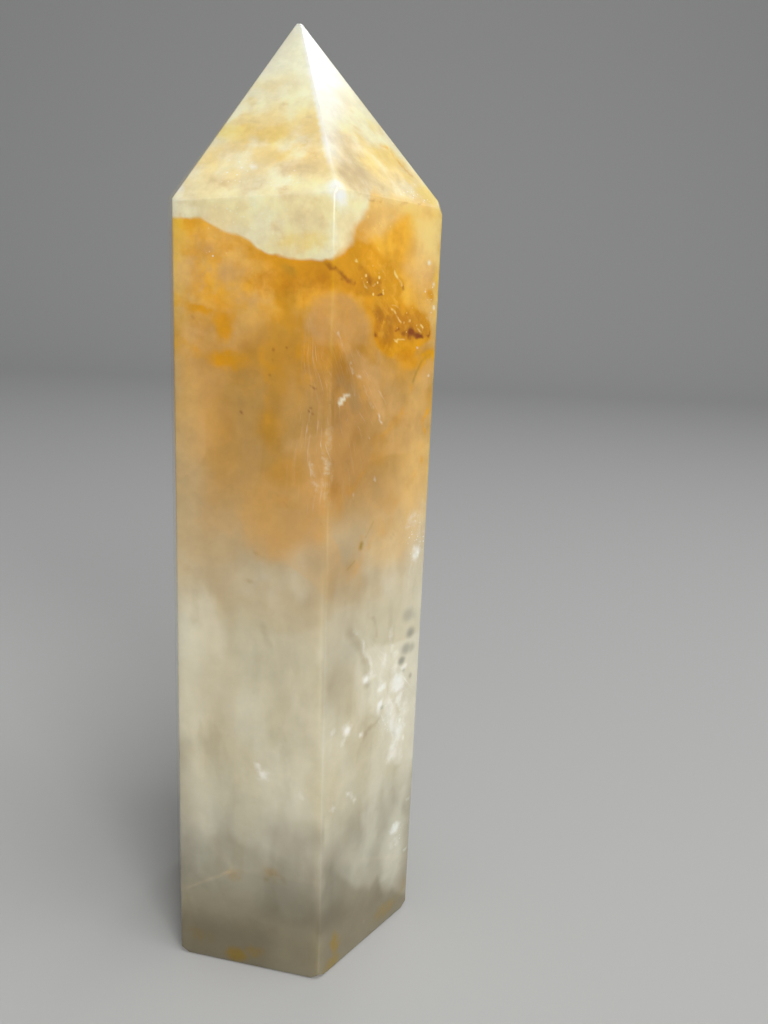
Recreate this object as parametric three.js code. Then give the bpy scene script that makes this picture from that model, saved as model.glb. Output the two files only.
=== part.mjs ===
// A golden healer quartz tower: one crystal, cut and polished as a free-standing six-sided point.
// Millimetres, +Z up. It stands on z = 0, with the origin under the middle of its outline.
// The body is the space inside a set of flat facets. Each facet is a half-space, and the edges
// between facets are eased by a small radius, as hand polishing leaves them.
import * as THREE from "three";
import { ConvexGeometry } from "three/addons/geometries/ConvexGeometry.js";

// ---- driving dimensions ----
const HEIGHT = 120.2; // base to the blunted tip
const APEX_LOSS = 0.4; // what polishing took off the sharp apex
const APEX_X = 0.1; // the apex stands a little off the axis
const APEX_Y = 0.2;
const TIP_FLAT_TILT = 9; // degrees, the worn spot at the apex leans forward
const EDGE_RADIUS = 0.3; // easing along every edge
const EDGE_STEPS = 4; // flat strips across an eased edge

// Prism faces, anticlockwise seen from above: the way each faces, its distance from the axis at the
// base, how far it leans inwards going up, and the slope of the tip facet above it, with that
// facet's own small turn. Degrees and millimetres.
const SIDES = [
  { name: "front", facing: -100.7, reach: 16.3, lean: -0.13, tipSlope: 51.7, tipTurn: -2.9 },
  { name: "front right", facing: -40.5, reach: 16.5, lean: 0.08, tipSlope: 50.9, tipTurn: 0.2 },
  { name: "right", facing: 18.6, reach: 16.4, lean: 0.49, tipSlope: 52.3, tipTurn: 0 },
  { name: "back right", facing: 78.7, reach: 16.4, lean: 0.16, tipSlope: 52.0, tipTurn: 0.8 },
  { name: "back left", facing: 139.1, reach: 16.2, lean: -0.03, tipSlope: 51.7, tipTurn: -0.6 },
  { name: "left", facing: 196.9, reach: 16.7, lean: 0.98, tipSlope: 53.5, tipTurn: 4.3 },
];

const BASE_RIM = 0.25; // 45 degree chamfer round the base
const BASE_CORNER_RISE = 0.95; // how high up a vertical edge its worn base corner reaches
const BASE_CORNER_SLOPE = 38; // degrees, that corner's facet against the vertical
const SHOULDER_WEAR = 0.3; // depth of the worn spot where the right edge meets the tip
const SHOULDER_SLOPE = 22; // degrees, the way that spot faces, above the horizontal

const QUARTZ_COLOUR = 0xdcb98a; // honey and cream
const QUARTZ_ROUGHNESS = 0.12;

const VERTEX_REACH = 1e-6; // a vertex this close to a facet lies on it

// ---- facets ----
const rad = THREE.MathUtils.degToRad;

// The unit vector that points to an azimuth, raised above the horizontal.
function pointing(azimuth, elevation) {
  const level = Math.cos(rad(elevation));
  return new THREE.Vector3(
    level * Math.cos(rad(azimuth)),
    level * Math.sin(rad(azimuth)),
    Math.sin(rad(elevation)),
  );
}

// A facet as its outward normal and its distance from the origin along it.
function facetThrough(normal, point) {
  return { normal, distance: normal.dot(point) };
}

// The point that three facets share, or null where they have none.
function corner(a, b, c) {
  const across = new THREE.Vector3().crossVectors(b.normal, c.normal);
  const spread = a.normal.dot(across);
  if (Math.abs(spread) < VERTEX_REACH) return null;
  return across
    .multiplyScalar(a.distance)
    .addScaledVector(new THREE.Vector3().crossVectors(c.normal, a.normal), b.distance)
    .addScaledVector(new THREE.Vector3().crossVectors(a.normal, b.normal), c.distance)
    .divideScalar(spread);
}

const DOWN = new THREE.Vector3(0, 0, -1);
const apex = new THREE.Vector3(APEX_X, APEX_Y, HEIGHT + APEX_LOSS);

const base = { normal: DOWN, distance: 0 };

const sides = SIDES.map(({ facing, reach, lean }) =>
  facetThrough(pointing(facing, lean), pointing(facing, 0).multiplyScalar(reach)),
);

// Every tip facet passes through the apex.
const tipFacets = SIDES.map(({ facing, tipSlope, tipTurn }) =>
  facetThrough(pointing(facing + tipTurn, 90 - tipSlope), apex),
);

const tipFlat = facetThrough(
  pointing(SIDES[0].facing, 90 - TIP_FLAT_TILT),
  new THREE.Vector3(APEX_X, APEX_Y, HEIGHT),
);

// A narrow chamfer along each base edge.
const rims = sides.map((side) => {
  const normal = side.normal.clone().add(DOWN).normalize();
  const edge = facetThrough(normal, side.normal.clone().multiplyScalar(side.distance));
  return { normal, distance: edge.distance - BASE_RIM * Math.SQRT1_2 };
});

// The direction halfway between the face before a vertical edge and the face after it.
const edgeFacing = sides.map((side, i) => {
  const next = sides[(i + 1) % sides.length];
  const between = side.normal.clone().add(next.normal);
  return THREE.MathUtils.radToDeg(Math.atan2(between.y, between.x));
});

// The worn corner where each vertical edge meets the base.
const baseCorners = sides.map((side, i) => {
  const foot = corner(side, sides[(i + 1) % sides.length], base);
  return facetThrough(
    pointing(edgeFacing[i], -BASE_CORNER_SLOPE),
    foot.setZ(BASE_CORNER_RISE),
  );
});

// The worn spot on the right-hand shoulder, between the front right and the right face.
const RIGHT_EDGE = 1;
const shoulderPeak = corner(sides[RIGHT_EDGE], sides[RIGHT_EDGE + 1], tipFacets[RIGHT_EDGE]);
const shoulder = facetThrough(pointing(edgeFacing[RIGHT_EDGE], SHOULDER_SLOPE), shoulderPeak);
shoulder.distance -= SHOULDER_WEAR;

const facets = [base, ...sides, ...tipFacets, tipFlat, ...rims, ...baseCorners, shoulder];

// ---- the eased solid ----

// Corners of the solid inside every facet, each with the facets that meet there.
function cornersInside(bounds) {
  const found = [];
  for (let i = 0; i < bounds.length; i++)
    for (let j = i + 1; j < bounds.length; j++)
      for (let k = j + 1; k < bounds.length; k++) {
        const point = corner(bounds[i], bounds[j], bounds[k]);
        if (!point) continue;
        const clearance = bounds.map((f) => f.normal.dot(point) - f.distance);
        if (Math.max(...clearance) > VERTEX_REACH) continue;
        if (found.some((c) => c.point.distanceTo(point) < VERTEX_REACH)) continue;
        found.push({ point, meeting: bounds.filter((f, n) => clearance[n] > -VERTEX_REACH) });
      }
  return found;
}

// The eased corner: a ball's worth of points between the normals of the facets that meet there.
// Two corners that share an edge get the same points along it, so the strips between are flat.
function easedCorner({ point, meeting }) {
  const normals = meeting.map((f) => f.normal);
  const outward = normals.reduce((sum, n) => sum.add(n), new THREE.Vector3()).normalize();
  const directions = [...normals, outward];
  normals.forEach((a, i) =>
    normals.slice(i + 1).forEach((b) => {
      for (let step = 1; step < EDGE_STEPS; step++)
        directions.push(a.clone().lerp(b, step / EDGE_STEPS).normalize());
    }),
  );
  return directions.map((d) => point.clone().addScaledVector(d, EDGE_RADIUS));
}

const inner = facets.map((f) => ({ normal: f.normal, distance: f.distance - EDGE_RADIUS }));
const geometry = new ConvexGeometry(cornersInside(inner).flatMap(easedCorner));
geometry.computeBoundingBox();
const middle = geometry.boundingBox.getCenter(new THREE.Vector3());
geometry.translate(-middle.x, -middle.y, 0);

const quartz = new THREE.Mesh(
  geometry,
  new THREE.MeshStandardMaterial({
    color: QUARTZ_COLOUR,
    roughness: QUARTZ_ROUGHNESS,
    metalness: 0,
    flatShading: true,
  }),
);
quartz.name = "quartz_tower";

const tower = new THREE.Group();
tower.add(quartz);

export default tower;
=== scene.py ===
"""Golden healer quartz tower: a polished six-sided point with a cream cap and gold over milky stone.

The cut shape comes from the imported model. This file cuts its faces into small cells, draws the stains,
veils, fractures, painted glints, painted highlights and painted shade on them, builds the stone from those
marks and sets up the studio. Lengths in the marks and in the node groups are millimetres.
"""

import math

import bmesh
import bpy
import numpy as np
from bpy.props import FloatProperty, FloatVectorProperty, PointerProperty
from mathutils import Matrix, Vector, noise


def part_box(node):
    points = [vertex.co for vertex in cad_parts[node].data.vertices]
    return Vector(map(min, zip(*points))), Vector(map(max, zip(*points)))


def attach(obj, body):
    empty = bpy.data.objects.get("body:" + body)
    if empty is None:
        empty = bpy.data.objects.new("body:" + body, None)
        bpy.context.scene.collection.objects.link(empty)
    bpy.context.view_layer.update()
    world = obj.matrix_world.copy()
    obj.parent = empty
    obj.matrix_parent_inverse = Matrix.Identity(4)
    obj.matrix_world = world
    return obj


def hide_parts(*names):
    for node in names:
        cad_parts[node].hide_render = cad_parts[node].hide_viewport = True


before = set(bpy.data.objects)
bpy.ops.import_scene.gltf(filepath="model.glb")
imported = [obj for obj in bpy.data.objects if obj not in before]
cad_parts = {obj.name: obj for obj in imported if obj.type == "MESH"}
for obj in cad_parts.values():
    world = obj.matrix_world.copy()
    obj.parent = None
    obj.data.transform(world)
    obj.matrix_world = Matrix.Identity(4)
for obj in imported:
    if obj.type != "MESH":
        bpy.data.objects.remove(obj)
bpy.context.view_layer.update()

bl_info = {
    "name": "Golden Healer Quartz Tower",
    "version": (1, 0, 0),
    "blender": (4, 5, 0),
    "location": "View3D > Sidebar > Quartz",
    "description": "Builds a polished golden healer quartz point and a plain studio for it",
    "category": "Add Mesh",
}

NODE = "quartz_tower"
BODY = "root"
MM = 0.001
SEED = 5  # of the swirls that push the marks about
NEAR_CELL = 0.4  # mm, the cells of the faces that are looked at most, and of every face's rows
FAR_CELL = 1.0  # mm, the columns of the other faces
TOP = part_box(NODE)[1]


# ---------------------------------------------------------------- settings

def colour(name, description, default):
    """A colour setting, as linear red, green and blue."""
    return FloatVectorProperty(
        name=name, description=description, subtype="COLOR", size=3, min=0.0, max=1.0, default=default
    )


def share(name, description, default):
    """A setting from 0 to 1."""
    return FloatProperty(
        name=name, description=description, subtype="FACTOR", min=0.0, max=1.0, default=default
    )


class QuartzStoneSettings(bpy.types.PropertyGroup):
    """Colours and optics of the stone."""

    cream: colour("Cream", "Top of the point", (0.95, 0.90, 0.66))
    straw: colour("Straw", "Foot of the point and the cap", (0.94, 0.81, 0.47))
    sun: colour("Sun", "Yellow stain in the point", (0.92, 0.68, 0.22))
    wheat: colour("Wheat", "Warm band in the point", (0.95, 0.74, 0.34))
    tan: colour("Tan", "Dull cloud in the cap", (0.72, 0.56, 0.30))
    gold: colour("Gold", "Iron staining under the cap", (0.95, 0.50, 0.03))
    amber: colour("Amber", "Strongest gold", (0.77, 0.355, 0.002))
    ember: colour("Ember", "Orange heart of the gold", (0.62, 0.25, 0.0))
    rust: colour("Rust", "Iron crust in fractures", (0.26, 0.055, 0.0))
    ochre: colour("Ochre", "Yellow-brown stain", (0.56, 0.27, 0.010))
    sand: colour("Sand", "Pale pinkish mottles in the gold", (0.84, 0.53, 0.17))
    honey: colour("Honey", "Middle of the tower", (0.55, 0.31, 0.070))
    caramel: colour("Caramel", "Between honey and gold", (0.62, 0.305, 0.03))
    peach: colour("Peach", "Pinkish glow in the middle", (0.68, 0.37, 0.085))
    biscuit: colour("Biscuit", "Between honey and milk", (0.56, 0.43, 0.24))
    milk: colour("Milk", "Cloudy quartz of the lower half", (0.63, 0.57, 0.40))
    pearl: colour("Pearl", "Palest cloud", (0.80, 0.77, 0.62))
    # These two colours hold painted shade as well as their own tone: the stone is darker towards the foot,
    # where less light falls.
    smoke: colour("Smoke", "Grey cloud near the foot", (0.44, 0.41, 0.30))
    olive: colour("Olive", "Dull foot of the tower", (0.27, 0.23, 0.14))
    apricot: colour("Apricot", "Pale warm gold", (0.96, 0.66, 0.24))
    moss: colour("Moss", "Yellow-brown stain of the base", (0.34, 0.22, 0.02))
    slate: colour("Slate", "Bluish-grey inclusions", (0.22, 0.23, 0.20))
    shadow: colour("Shadow", "Dim streaks", (0.38, 0.32, 0.20))
    rose: colour("Rose", "Pale windows in the gold", (0.73, 0.43, 0.15))
    # Colour of the painted gold glints in the flame's lines and specks.
    spark: colour("Spark", "Bright lines in the gold", (1.0, 0.70, 0.18))
    # Also the white of the painted glints, highlights and reflection.
    veil: colour("Veil", "White of veils and glints", (0.97, 0.97, 0.88))
    clear: share("Clear share", "How much of the light passes as through clear quartz", 0.25)
    glow: share("Glow share", "How much of the rest scatters below the surface", 0.7)
    glow_depth: FloatProperty(
        name="Glow depth", description="How deep light wanders in the cloudy stone",
        default=0.006, min=0.0, unit="LENGTH",
    )
    glow_reach: FloatVectorProperty(
        name="Glow reach", description="How far red, green and blue wander, as shares of the depth",
        default=(1.0, 0.82, 0.6), min=0.0,
    )
    index: FloatProperty(
        name="Refractive index", description="Of quartz", default=1.544, min=1.0, max=3.0
    )
    gloss: share("Polish roughness", "Roughness of the polished faces", 0.07)
    inner_roughness: share("Inner roughness", "How much light is scattered where it leaves the stone", 0.2)
    depth_tint: colour("Depth tint", "What the clear stone lets through", (0.97, 0.84, 0.58))
    depth_strength: FloatProperty(
        name="Depth strength", description="How quickly the clear stone takes up light, per metre",
        default=38.0, min=0.0,
    )


class QuartzStudioSettings(bpy.types.PropertyGroup):
    """The floor, the lights and the camera."""

    floor: colour("Floor", "Pale paper under the tower", (0.46, 0.46, 0.45))
    air: colour("Air", "Light from all round", (0.95, 0.97, 1.0))
    air_strength: FloatProperty(
        name="Air strength", description="How strong the light from all round is", default=0.35, min=0.0
    )
    focal_pixels: FloatProperty(
        name="Focal length in pixels", description="Of a picture 1024 pixels high",
        default=760.0, min=1.0,
    )
    eye: FloatVectorProperty(
        name="Camera position", description="Where the lens is", subtype="TRANSLATION", unit="LENGTH",
        default=(0.0125, -0.10014, 0.09006), precision=5,
    )
    tilt: FloatProperty(
        name="Camera tilt", description="How far the camera looks down", subtype="ANGLE",
        default=math.radians(15.76),
    )
    roll: FloatProperty(
        name="Camera roll", description="How far the camera leans", subtype="ANGLE",
        default=math.radians(2.61),
    )


# ---------------------------------------------------------------- shader building

EVEN = (1.0, 1.0, 1.0)  # no stretch
WHITE = (1.0, 1.0, 1.0)


def rgba(value):
    return (*value, 1.0)


class Graph:
    """Adds nodes to one node tree and wires them by their socket names."""

    def __init__(self, tree):
        self.tree = tree

    def node(self, kind, label="", settings=None, **inputs):
        made = self.tree.nodes.new(kind)
        made.label = label
        for name, value in (settings or {}).items():
            setattr(made, name, value)
        for name, value in inputs.items():
            self.feed(made, name.replace("_", " "), value)
        return made

    def feed(self, node, name, value):
        """Links a socket or sets a plain value on the named input, or on the input of that index."""
        socket = node.inputs[int(name) if name.isdigit() else name]
        if isinstance(value, bpy.types.NodeSocket):
            self.tree.links.new(value, socket)
        else:
            socket.default_value = value

    def maths(self, operation, *values):
        made = self.node("ShaderNodeMath", settings={"operation": operation})
        for i, value in enumerate(values):
            self.feed(made, str(i), value)
        return made.outputs["Value"]

    def times(self, first, second):
        return self.maths("MULTIPLY", first, second)

    def vector(self, operation, *values):
        made = self.node("ShaderNodeVectorMath", settings={"operation": operation})
        for i, value in enumerate(values):
            self.feed(made, str(i), value)
        return made.outputs["Vector"]

    def scaled(self, vector, scale):
        made = self.node("ShaderNodeVectorMath", settings={"operation": "SCALE"})
        self.feed(made, "0", vector)
        self.feed(made, "Scale", scale)
        return made.outputs["Vector"]

    def between(self, value, low, high, to_low=0.0, to_high=1.0):
        """value mapped smoothly from low..high to to_low..to_high."""
        made = self.node("ShaderNodeMapRange", settings={"interpolation_type": "SMOOTHSTEP"})
        ends = {"From Min": low, "From Max": high, "To Min": to_low, "To Max": to_high}
        self.feed(made, "Value", value)
        for name, end in ends.items():
            self.feed(made, name, end)
        return made.outputs["Result"]

    def mix(self, share, first, second):
        """The colour first, turned into second by share."""
        made = self.node("ShaderNodeMix", settings={"data_type": "RGBA"})
        self.feed(made, "0", share)
        self.feed(made, "6", first)
        self.feed(made, "7", second)
        return made.outputs[2]

    def ramp(self, value, stops):
        """A smooth run of colours along value, as (place, colour) stops from 0 to 1."""
        made = self.node("ShaderNodeValToRGB", Fac=value)
        scale = made.color_ramp
        scale.interpolation = "EASE"
        while len(scale.elements) < len(stops):
            scale.elements.new(1.0)
        for element, (place, shade) in zip(scale.elements, stops):
            element.position = place
            element.color = rgba(shade)
        return made.outputs["Color"]

    def group(self, tree, **inputs):
        made = self.tree.nodes.new("ShaderNodeGroup")
        made.node_tree = tree
        for name, value in inputs.items():
            self.feed(made, name.replace("_", " "), value)
        return made.outputs[0]


def start_group(name, **inputs):
    """A new node group that gives a mask. Inputs with a number as default are numbers, others vectors."""
    tree = bpy.data.node_groups.new(name, "ShaderNodeTree")
    for label, default in inputs.items():
        kind = "NodeSocketFloat" if isinstance(default, float) else "NodeSocketVector"
        socket = tree.interface.new_socket(label, in_out="INPUT", socket_type=kind)
        if default is not None:
            socket.default_value = default
    tree.interface.new_socket("Mask", in_out="OUTPUT", socket_type="NodeSocketFloat")
    graph = Graph(tree)
    entry = tree.nodes.new("NodeGroupInput")
    leave = tree.nodes.new("NodeGroupOutput")
    return graph, entry.outputs, leave.inputs[0]


def fray_group():
    """A soft mask given a crisp, frayed edge by fine noise."""
    graph, given, out = start_group("Frayed Mask", Mask=0.0, Noise=0.5, Fray=0.5, Edge=0.4)
    wander = graph.times(graph.maths("SUBTRACT", given["Noise"], 0.5), given["Fray"])
    rough = graph.maths("MULTIPLY_ADD", wander, graph.between(given["Mask"], 0.0, 0.15), given["Mask"])
    low = graph.maths("SUBTRACT", 0.5, given["Edge"])
    high = graph.maths("ADD", 0.5, given["Edge"])
    graph.tree.links.new(graph.between(rough, low, high), out)
    return graph.tree


def cloud_group():
    """Cloudy patches: noise between a low and a high threshold, stretched as the stretch says."""
    graph, given, out = start_group(
        "Cloud", Position=None, Stretch=EVEN, Scale=0.1, Detail=4.0, Low=0.45, High=0.6, Strength=1.0
    )
    place = graph.vector("MULTIPLY", given["Position"], given["Stretch"])
    puff = graph.node(
        "ShaderNodeTexNoise", Vector=place, Scale=given["Scale"], Detail=given["Detail"]
    ).outputs["Fac"]
    mask = graph.between(puff, given["Low"], given["High"])
    graph.tree.links.new(graph.times(mask, given["Strength"]), out)
    return graph.tree


def fleck_group():
    """Small round specks, as many of the cells of a lattice as the density says."""
    graph, given, out = start_group(
        "Flecks", Position=None, Scale=1.0, Size=0.2, Density=0.3, Strength=1.0
    )
    cells = graph.node("ShaderNodeTexVoronoi", Vector=given["Position"], Scale=given["Scale"])
    lot = graph.node("ShaderNodeSeparateColor", Color=cells.outputs["Color"])
    chosen = graph.maths("LESS_THAN", lot.outputs["Red"], given["Density"])
    size = graph.times(given["Size"], graph.maths("ADD", 0.4, lot.outputs["Green"]))
    disc = graph.between(cells.outputs["Distance"], graph.times(size, 0.4), size, 1.0, 0.0)
    mask = graph.times(graph.times(disc, chosen), given["Strength"])
    graph.tree.links.new(mask, out)
    return graph.tree


def veil_group():
    """Veils: a crisp lit edge that follows the noise and fades away on its far side."""
    graph, given, out = start_group(
        "Veils", Position=None, Stretch=EVEN, Scale=0.1, Detail=1.5, Level=0.5, Fade=0.12, Strength=1.0
    )
    place = graph.vector("MULTIPLY", given["Position"], given["Stretch"])
    puff = graph.node(
        "ShaderNodeTexNoise", Vector=place, Scale=given["Scale"], Detail=given["Detail"], Distortion=0.6
    ).outputs["Fac"]
    past = graph.maths("SUBTRACT", puff, given["Level"])
    edge = graph.between(past, 0.0, 0.03)
    fade = graph.between(past, 0.0, given["Fade"], given["Strength"], 0.0)
    graph.tree.links.new(graph.times(edge, fade), out)
    return graph.tree


def thread_group():
    """Threads that run down a fan: noise drawn out along it, between a low and a high threshold."""
    graph, given, out = start_group("Threads", Threads=None, Mask=0.0, Scale=1.0, Low=0.5, High=0.6)
    grain = graph.node(
        "ShaderNodeTexNoise", Vector=given["Threads"], Scale=given["Scale"], Detail=3.0, Roughness=0.6
    ).outputs["Fac"]
    line = graph.between(grain, given["Low"], given["High"])
    graph.tree.links.new(graph.times(line, given["Mask"]), out)
    return graph.tree


GROUP_MAKERS = {
    "fray": fray_group,
    "cloud": cloud_group,
    "fleck": fleck_group,
    "veil": veil_group,
    "thread": thread_group,
}


# ---------------------------------------------------------------- where things are in the stone

# Each side of the tower: the way it faces, in degrees from the right, and its distance from the
# middle in mm. Left and right are as it is seen from the camera's place.
FACES = {
    "left": (196.9, 16.7),
    "front": (-100.7, 16.3),
    "right": (-40.5, 16.5),
    "far_right": (18.6, 16.4),
    "back_right": (78.7, 16.4),
    "back_left": (139.1, 16.2),
}
HIDDEN_FACES = ("left", "back_left", "back_right", "far_right")
SHOULDER = 99.8  # mm, where the point begins
TIP_SLOPE = 1.27  # rise of the point's faces for each mm inwards


def on_face(face, along, height):
    """The spot, in mm, at that height on a face, and as far along to the right of its middle line."""
    facing, reach = FACES[face]
    turn = math.radians(facing)
    out = reach - max(0.0, height - SHOULDER) / TIP_SLOPE
    return (
        out * math.cos(turn) - along * math.sin(turn),
        out * math.sin(turn) + along * math.cos(turn),
        height,
    )


# The lower edges of the cap and of the pale cloud over the foot, seen from the front: how far to the
# right, and how high, in mm as everything that follows.
CAP_LINE = (
    (-18.0, 97.4), (-7.7, 96.8), (-5.5, 95.9), (-2.8, 95.2), (-1.5, 94.6), (0.2, 93.7), (1.1, 93.6),
    (2.4, 93.3), (3.6, 93.3), (5.0, 93.2), (6.1, 93.7), (7.2, 94.8), (8.3, 96.5), (9.1, 98.3),
    (9.8, 100.2),
)
FOOT_LINE = (
    (-18.0, 19.0), (-12.7, 20.1), (-9.5, 21.4), (-6.3, 21.8), (-3.6, 20.2), (-1.7, 20.6), (1.3, 18.2),
    (4.4, 18.5), (7.4, 18.0), (9.2, 13.7), (10.9, 10.4), (12.3, 8.6), (13.4, 10.0), (14.7, 7.0),
    (16.4, 6.2), (18.4, 2.6),
)

# Fans of threads: face, along and height of the point they leave, heading and spread in degrees,
# length, strength.
PALE_FANS = (
    ("right", -10.0, 88.5, -60.0, 22.0, 17.0, 0.9),
    ("right", -12.0, 92.0, -78.0, 14.0, 28.0, 0.7),
    ("front", 7.0, 90.0, -86.0, 15.0, 27.0, 1.0),
    ("back_left", 2.0, 90.0, -80.0, 25.0, 26.0, 0.8),
    ("far_right", -2.0, 86.0, -100.0, 22.0, 24.0, 0.8),
)
SILVER_FANS = (
    ("right", -3.2, 50.0, -58.0, 22.0, 24.0, 1.0),
    ("right", 8.0, 66.0, -96.0, 14.0, 18.0, 0.6),
    ("back_right", 0.0, 60.0, -84.0, 26.0, 30.0, 0.9),
    ("left", 3.0, 44.0, -95.0, 20.0, 26.0, 0.7),
)
FLAME_FANS = (
    ("right", -24.0, 112.0, -44.0, 9.0, 44.0, 1.0),
    ("back_right", -20.0, 104.0, -35.0, 14.0, 36.0, 1.0),
    ("back_left", 14.0, 104.0, -150.0, 16.0, 30.0, 0.9),
)

# Soft marks: face, how far along it and how high, half width, half height, strength.
ROSE_SPOTS = (
    ("front", -7.0, 91.8, 2.6, 2.2, 0.50),
    ("front", -4.6, 94.2, 2.2, 1.0, 0.40),
    ("front", -2.0, 91.6, 2.6, 1.7, 0.55),
    ("front", -0.4, 89.6, 2.8, 1.5, 0.50),
    ("front", -6.4, 85.4, 2.4, 1.4, 0.45),
    ("right", 6.4, 92.6, 1.8, 3.0, 0.50),
    ("right", 7.4, 81.4, 2.2, 2.6, 0.55),
    ("back_left", -3.0, 88.0, 5.0, 4.0, 0.6),
    ("back_right", 3.0, 91.0, 5.0, 3.0, 0.6),
)
AMBER_SPOTS = (
    ("right", 3.4, 83.0, 2.8, 1.8, 0.75),
    ("front", 1.0, 91.6, 3.0, 2.4, 0.45),
    ("front", 1.6, 94.0, 3.0, 1.0, 0.70),
    ("front", -2.4, 94.6, 2.0, 0.7, 0.45),
    ("right", 0.2, 96.4, 1.6, 1.4, 0.45),
    ("right", 6.8, 90.5, 0.9, 0.8, 0.80),
    ("front", -5.6, 87.8, 2.4, 0.8, 1.00),
    ("front", -2.8, 86.2, 1.5, 2.1, 1.00),
    ("front", -2.5, 82.7, 3.0, 1.6, 1.00),
    ("right", 7.6, 83.6, 1.6, 0.9, 0.80),
    ("far_right", -6.0, 90.0, 4.0, 3.0, 0.9),
    ("back_right", -5.0, 86.0, 4.0, 2.5, 0.8),
    ("back_left", 4.0, 92.5, 6.0, 2.0, 0.9),
    ("left", 2.0, 89.0, 5.0, 2.0, 0.8),
)
RUST_SPOTS = (
    ("right", 3.3, 86.2, 1.1, 0.6, 1.00),
    ("right", -2.6, 86.0, 0.7, 0.5, 0.55),
    ("right", 6.6, 86.0, 0.6, 0.4, 0.50),
    ("front", 4.6, 92.4, 0.8, 0.45, 0.35),
    ("far_right", -3.0, 88.0, 1.4, 0.8, 0.8),
    ("back_left", 6.0, 92.6, 1.6, 0.6, 0.7),
)
EMBER_SPOTS = (
    ("right", 2.4, 83.8, 2.8, 1.6, 0.60),
    ("front", 4.6, 91.2, 5.2, 2.0, 0.50),
    ("back_left", 5.0, 92.0, 3.0, 1.6, 0.8),
    ("back_right", -5.0, 87.0, 3.4, 2.0, 0.8),
    ("far_right", -4.0, 88.0, 2.4, 1.6, 0.7),
)
OCHRE_SPOTS = (
    ("front", 3.2, 80.6, 1.9, 4.6, 0.65),
    ("front", 2.7, 75.4, 2.1, 3.8, 0.95),
    ("front", 4.4, 71.0, 2.9, 2.8, 0.70),
    ("front", 4.6, 67.4, 1.9, 1.1, 0.30),
    ("right", -1.4, 71.8, 2.2, 1.4, 0.45),
    ("right", -8.6, 68.8, 1.4, 1.6, 0.60),
    ("right", -6.2, 68.8, 1.5, 1.2, 0.50),
    ("right", -7.0, 82.2, 2.0, 1.6, 0.45),
    ("right", -7.4, 80.4, 1.5, 1.3, 0.75),
    ("right", -8.9, 83.4, 1.0, 1.0, 0.45),
    ("right", -0.6, 73.6, 1.0, 1.2, 0.50),
    ("right", -4.8, 59.0, 2.4, 1.7, 0.22),
    ("right", 0.4, 62.8, 2.8, 1.6, 0.30),
    ("right", -7.8, 67.4, 1.4, 2.6, 0.45),
    ("right", 1.0, 65.8, 2.8, 2.0, 0.35),
    ("right", -2.0, 73.8, 1.4, 1.2, 0.50),
    ("right", 2.0, 76.0, 1.4, 1.0, 0.45),
    ("front", 3.0, 16.4, 1.6, 0.8, 0.22),
    ("front", -2.1, 14.7, 1.4, 1.6, 0.16),
    ("back_right", 0.0, 1.5, 3.0, 2.0, 0.6),
    ("back_left", -4.0, 74.0, 2.5, 5.0, 0.7),
    ("far_right", 3.0, 70.0, 2.5, 4.0, 0.6),
)
PEACH_SPOTS = (
    ("front", -5.6, 76.6, 4.2, 4.4, 0.45),
    ("front", 4.6, 66.2, 4.4, 3.0, 0.40),
    ("front", 8.0, 64.2, 1.8, 2.2, 0.55),
    ("right", -3.4, 81.0, 4.2, 5.0, 0.35),
    ("left", 0.0, 74.0, 6.0, 6.0, 0.5),
)
SAND_GLOW = (
    ("right", 4.6, 93.4, 3.4, 4.0, 0.85),
    ("right", 7.4, 88.6, 2.0, 5.0, 0.70),
    ("right", 6.4, 67.0, 4.6, 11.0, 0.70),
    ("right", 2.0, 61.0, 6.0, 5.0, 0.45),
    ("right", 5.6, 79.0, 2.6, 4.0, 0.40),
    ("front", -7.6, 78.0, 2.4, 8.0, 0.25),
    ("far_right", -6.0, 66.0, 5.0, 12.0, 0.7),
    ("back_left", -4.0, 62.0, 5.0, 8.0, 0.5),
)
BLUSH_GLOW = (
    ("front", -8.6, 66.0, 5.0, 14.0, 0.60),
    ("front", -3.0, 60.0, 6.0, 4.0, 0.45),
    ("front", -8.8, 80.0, 1.6, 4.0, 0.30),
    ("left", 6.0, 64.0, 6.0, 14.0, 0.5),
)
MOTTLED_GLOW = (
    ("front", -4.0, 90.4, 9.0, 8.0, 1.0),
    ("right", 7.0, 92.0, 4.0, 7.0, 0.6),
    *((face, 0.0, 90.0, 9.0, 8.0, 0.9) for face in HIDDEN_FACES),
)
PEARL_GLOW = (
    ("right", 3.8, 38.0, 4.6, 8.0, 0.60),
    ("right", 7.4, 55.0, 3.0, 12.0, 0.30),
    ("right", 7.4, 30.0, 2.6, 14.0, 0.50),
    ("right", 5.6, 12.6, 3.2, 8.0, 0.70),
    ("right", -5.0, 28.0, 3.6, 5.0, 0.25),
    ("front", 5.6, 28.0, 6.0, 6.0, 0.25),
    ("front", 1.0, 57.0, 7.0, 3.0, 0.20),
    ("front", -0.4, 38.8, 3.6, 5.0, 0.40),
    ("front", -7.6, 50.0, 2.6, 8.0, 0.10),
    ("back_left", 0.0, 40.0, 6.0, 12.0, 0.6),
    ("far_right", 2.0, 34.0, 5.0, 10.0, 0.6),
)
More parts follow.
